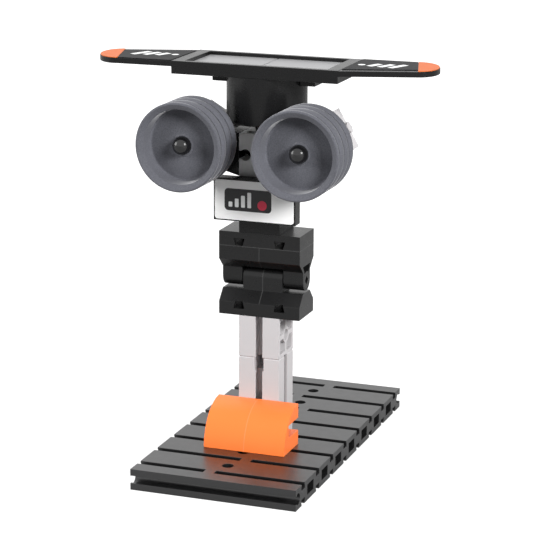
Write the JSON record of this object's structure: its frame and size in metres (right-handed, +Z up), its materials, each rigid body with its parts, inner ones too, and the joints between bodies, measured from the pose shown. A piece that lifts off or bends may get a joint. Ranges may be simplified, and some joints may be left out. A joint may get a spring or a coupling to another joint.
{
  "type": "construction kit robot figure",
  "caption": "Desk robot figure of kit blocks: grooved base plate, column, tilting hinge waist, face plate, dished wheels for eyes, and a turning drum that carries a tray with blades",
  "frame": {"origin": "middle of the base plate's underside", "axes": "+Z up the column, -Y is the way the face looks, +X is the right of the picture"},
  "size_m": [0.1206, 0.12, 0.1424],
  "materials": {
    "base_black": "glossy moulded black",
    "kit_black": "semi-gloss moulded black",
    "dark_grey": "satin dark grey",
    "pale_grey": "satin pale grey",
    "orange_plastic": "glossy orange",
    "tyre_grey": "smooth blue-grey",
    "axle_steel": "drawn bar",
    "cell_grey": "satin light grey",
    "sticker_white": "printed film",
    "sticker_black": "printed film",
    "sticker_orange": "printed film"
  },
  "bodies": {
    "base": {"base_plate": "base_black", "nose_block": "orange_plastic", "column_lower_block": "pale_grey", "column_upper_block": "pale_grey", "hinge_lower_half": "kit_black"},
    "torso": {"hinge_upper_half": "kit_black", "hinge_pin": "kit_black", "neck_riser": "kit_black", "neck_block": "kit_black", "face_plate": "kit_black", "face_sticker": "sticker_white", "head_block": "dark_grey", "angle_block_left": "kit_black", "angle_block_right": "kit_black", "eye_block_left": "pale_grey", "eye_block_right": "pale_grey"},
    "eye_left": {"eye_axle_left": "axle_steel", "eye_hub_left": "kit_black", "eye_tyre_left": "tyre_grey"},
    "eye_right": {"eye_axle_right": "axle_steel", "eye_hub_right": "kit_black", "eye_tyre_right": "tyre_grey"},
    "crown": {"crown_pivot": "kit_black", "crown_drum": "kit_black", "tray_rail": "kit_black", "blade_tray": "kit_black", "tray_cell_left": "cell_grey", "tray_cell_right": "cell_grey", "blade_sticker_left": "sticker_black", "blade_sticker_right": "sticker_black", "blade_tip_left": "sticker_orange", "blade_tip_right": "sticker_orange"}
  },
  "joints": [
    {"name": "waist_tilt", "type": "hinge", "parent": "base", "child": "torso", "pos_m": [0, -0.0075, 0.0655], "axis": [1, 0, 0], "range_deg": [-85, 85]},
    {"name": "left_eye_spin", "type": "hinge", "parent": "torso", "child": "eye_left", "pos_m": [-0.02089, -0.0075, 0.1156], "axis": [0, 1, 0], "continuous": true},
    {"name": "right_eye_spin", "type": "hinge", "parent": "torso", "child": "eye_right", "pos_m": [0.02089, -0.0075, 0.1156], "axis": [0, 1, 0], "continuous": true},
    {"name": "crown_swivel", "type": "hinge", "parent": "torso", "child": "crown", "pos_m": [0, -0.0075, 0.1175], "axis": [0, 0, 1], "continuous": true}
  ]
}
